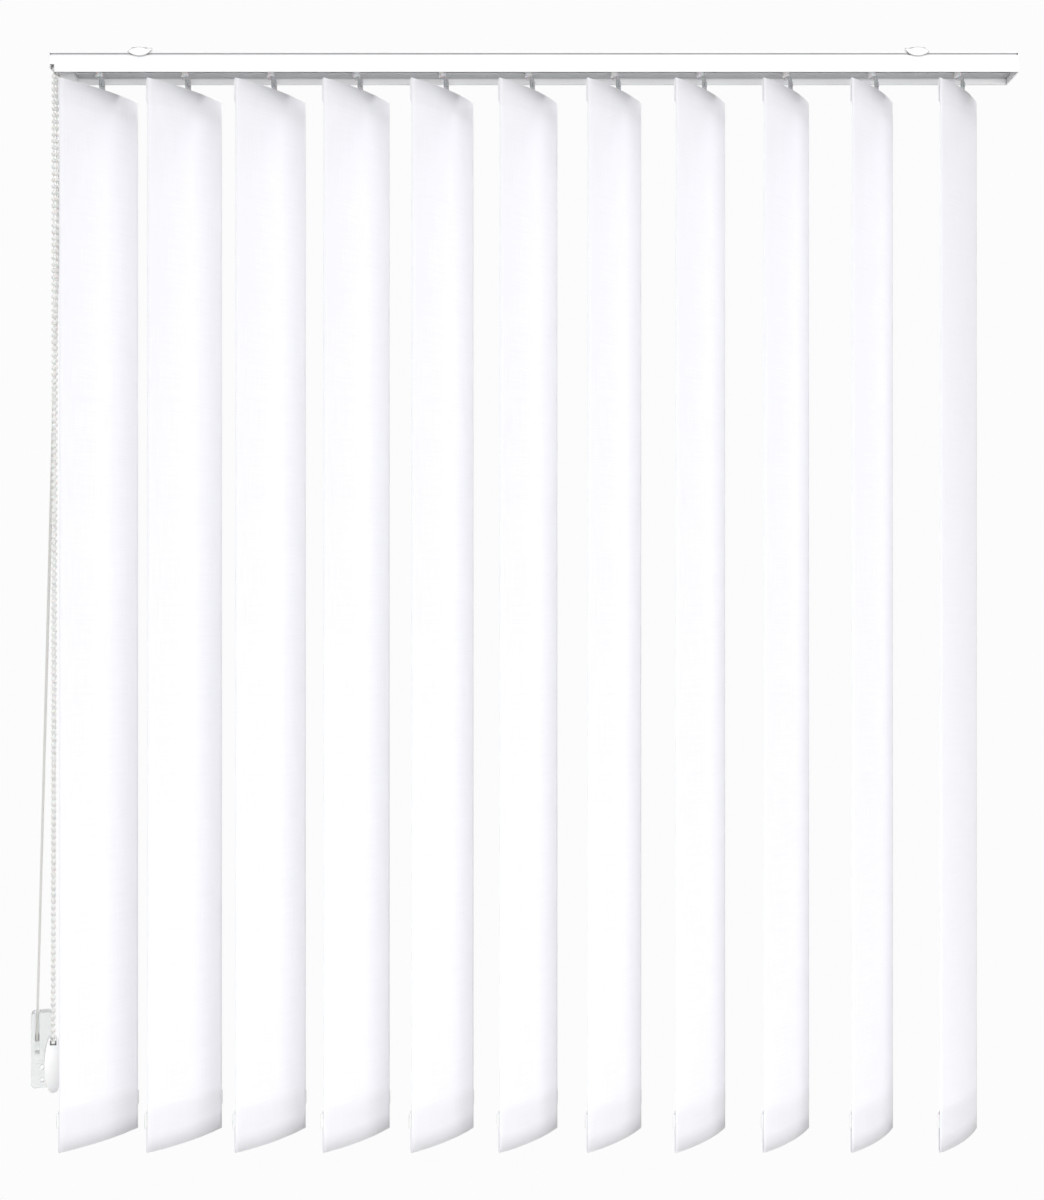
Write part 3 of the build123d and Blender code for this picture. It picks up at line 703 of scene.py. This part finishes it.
# Slats: plain-woven white polyester, stiffened with resin so that it keeps a shallow crown. The
# cloth is cut to length, folded back and welded at both ends: a short pocket for the hanger at the
# top, and a deeper hem for the weight.
SLAT_PITCH = 0.080
FIRST_PIVOT_X = -0.400
SLAT_WIDTH = 0.089
SLAT_LENGTH = 0.977
SLAT_TOP = -0.034
SLAT_CROWN = 0.005
CROWN_APEX = -0.006
SLAT_ANGLE = math.radians(52.7)
CLOTH = 0.0004
POCKET_GAP = 0.0012
TOP_POCKET = 0.022
HEM_POCKET = 0.0385
WELD = 0.0015
ACROSS = 22
SLAT_ROWS = 60
TOP_ROWS = 16
HEM_ROWS = 26
THREADS = 900.0  # wave scale, for threads 0.35 mm apart
SLUBS = 1400.0  # noise scale, for slubs of 0.7 mm across a thread
ALONG_THREAD = 0.02  # share of that scale along a thread, which makes its slubs 36 mm long
crown_radius = ((SLAT_WIDTH / 2) ** 2 + SLAT_CROWN**2) / (2 * SLAT_CROWN)


def crown_point(x, depth):
    """Y on the slat at x from its middle, and so deep behind the front face."""
    return crown_radius + CROWN_APEX - math.sqrt((crown_radius - depth) ** 2 - x**2)


def cloth_layer(shape, uv, low, high, rows, depth_at):
    """A closed layer of cloth between two heights, as deep behind the front face as depth_at says."""
    sides = []
    for thickness in (0.0, CLOTH):
        grid = []
        for row in range(rows + 1):
            z = low + (high - low) * row / rows
            line = []
            for column in range(ACROSS + 1):
                x = SLAT_WIDTH * (column / ACROSS - 0.5)
                y = crown_point(x, depth_at(z) + thickness)
                line.append(shape.verts.new((x, y, z)))
            grid.append(line)
        sides.append(grid)
    front, back = sides

    def skin(a, b, c, d, smooth=False):
        """Add one face, smooth on the cloth's two sides and flat on its cut edges."""
        face = shape.faces.new((a, b, c, d))
        face.smooth = smooth
        for loop in face.loops:
            loop[uv].uv = (loop.vert.co.x, loop.vert.co.z)

    for row in range(rows):
        for column in range(ACROSS):
            low_line, high_line = front[row], front[row + 1]
            skin(low_line[column], low_line[column + 1], high_line[column + 1], high_line[column], True)
            low_line, high_line = back[row], back[row + 1]
            skin(low_line[column + 1], low_line[column], high_line[column], high_line[column + 1], True)
    for row in range(rows):
        skin(back[row][0], front[row][0], front[row + 1][0], back[row + 1][0])
        skin(front[row][ACROSS], back[row][ACROSS], back[row + 1][ACROSS], front[row + 1][ACROSS])
    for column in range(ACROSS):
        skin(back[0][column], back[0][column + 1], front[0][column + 1], front[0][column])
        skin(front[rows][column], front[rows][column + 1], back[rows][column + 1], back[rows][column])


def slat_mesh(name):
    """The slat's front cloth, and the folded-back cloth of its two pockets."""
    shape = bmesh.new()
    uv = shape.loops.layers.uv.new("cloth")
    bottom = SLAT_TOP - SLAT_LENGTH
    cloth_layer(shape, uv, bottom, SLAT_TOP, SLAT_ROWS, lambda z: 0.0)
    pocket_depth = CLOTH + POCKET_GAP

    def swell(low, high):
        """How deep a pocket's cloth lies, from its welds to its middle."""

        def depth(z):
            edge = min(z - low, high - z) / WELD
            return CLOTH + (pocket_depth - CLOTH) * min(1.0, max(0.0, edge)) ** 0.5

        return depth

    pocket_bottom = SLAT_TOP - TOP_POCKET
    hem_top = bottom + HEM_POCKET
    cloth_layer(shape, uv, pocket_bottom, SLAT_TOP, TOP_ROWS, swell(pocket_bottom, SLAT_TOP))
    cloth_layer(shape, uv, bottom, hem_top, HEM_ROWS, swell(bottom, hem_top))
    mesh = bpy.data.meshes.new(name)
    shape.to_mesh(mesh)
    shape.free()
    return mesh


def woven_polyester():
    """Plain weave with slubs along both threads, resin sheen, and light that comes through."""
    material, tree, output = new_material("resin_stiffened_plain_weave")
    place = node(tree, "UVMap", {"uv_map": "cloth"})
    threads = []
    for direction, scale in (("X", (1.0, ALONG_THREAD, 1.0)), ("Y", (ALONG_THREAD, 1.0, 1.0))):
        wave = node(
            tree,
            "TexWave",
            {"bands_direction": direction},
            Vector=place.outputs[0],
            Scale=THREADS,
            Distortion=0.8,
            Detail=1.0,
            Detail_Scale=1.0,
        )
        stretched = node(tree, "Mapping", Vector=place.outputs[0], Scale=scale)
        slub = node(tree, "TexNoise", Vector=stretched.outputs[0], Scale=SLUBS, Detail=2.0)
        threads.append((wave, slub))
    (warp, warp_slub), (weft, weft_slub) = threads
    weave = node(tree, "Math", {"operation": "MULTIPLY"}, _0=warp.outputs["Fac"], _1=weft.outputs["Fac"])
    slubs = node(
        tree,
        "Math",
        {"operation": "ADD"},
        _0=warp_slub.outputs["Fac"],
        _1=weft_slub.outputs["Fac"],
    )
    height = node(
        tree,
        "Math",
        {"operation": "MULTIPLY_ADD"},
        _0=weave.outputs[0],
        _1=0.6,
        _2=slubs.outputs[0],
    )
    bump = node(tree, "Bump", Strength=0.35, Distance=0.0002, Height=height.outputs[0])
    tint = node(
        tree,
        "MapRange",
        {"data_type": "FLOAT"},
        Value=slubs.outputs[0],
        From_Min=0.7,
        From_Max=1.3,
        To_Min=0.0,
        To_Max=1.0,
    )
    shade = node(
        tree, "Mix", {"data_type": "RGBA"}, _0=tint.outputs[0], _6=colour("f3f3f6"), _7=colour("fbfbfd")
    )
    cloth = node(
        tree,
        "BsdfPrincipled",
        Base_Color=shade.outputs[2],
        Roughness=0.72,
        Sheen_Weight=0.15,
        Normal=bump.outputs["Normal"],
    )
    through = node(tree, "BsdfTranslucent", Color=colour("f7f7fb"), Normal=bump.outputs["Normal"])
    both = node(tree, "MixShader", _0=0.22, _1=cloth.outputs[0], _2=through.outputs[0])
    tree.links.new(both.outputs[0], output.inputs["Surface"])
    return material


weave = woven_polyester()
for number in SLATS:
    name = f"cloth_slat_{number:02d}"
    slat = bpy.data.objects.new(name, slat_mesh(name))
    bpy.context.collection.objects.link(slat)
    pivot = Matrix.Translation((FIRST_PIVOT_X + (number - 1) * SLAT_PITCH, 0, 0))
    slat.data.transform(pivot @ Matrix.Rotation(SLAT_ANGLE, 4, "Z"))
    slat.data.materials.append(weave)
    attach(slat, f"hung_slat_{number:02d}")
    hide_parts(f"slat_{number:02d}")
